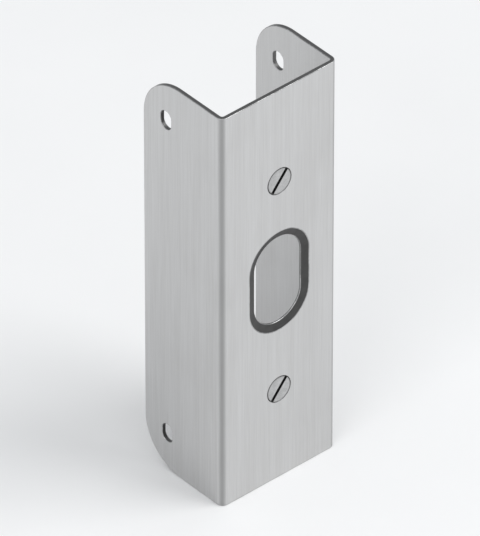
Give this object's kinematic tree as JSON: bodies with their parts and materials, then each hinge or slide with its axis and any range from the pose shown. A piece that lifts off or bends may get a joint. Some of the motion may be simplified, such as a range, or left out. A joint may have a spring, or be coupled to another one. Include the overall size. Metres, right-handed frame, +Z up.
{
  "type": "door reinforcer plate",
  "caption": "Folded steel channel that wraps round a door's edge, with a bevelled obround latch opening, slotted flanges with rounded corners and countersunk slotted screws.",
  "frame": {"origin": "middle of the footprint of the standing channel, in the plane of its lower ends", "axes": "+X across the door's thickness, from the near flange to the far one; +Y into the door, from the web towards the flanges' back edges; +Z up along the door's edge"},
  "size_m": [0.0474, 0.0364, 0.1524],
  "materials": {
    "plate_steel": "satin brushed along its height, with darker cut edges",
    "screw_steel": "turned and plated, satin"
  },
  "bodies": {
    "root": {"reinforcer_plate": "plate_steel", "upper_screw": "screw_steel", "lower_screw": "screw_steel"}
  },
  "joints": []
}
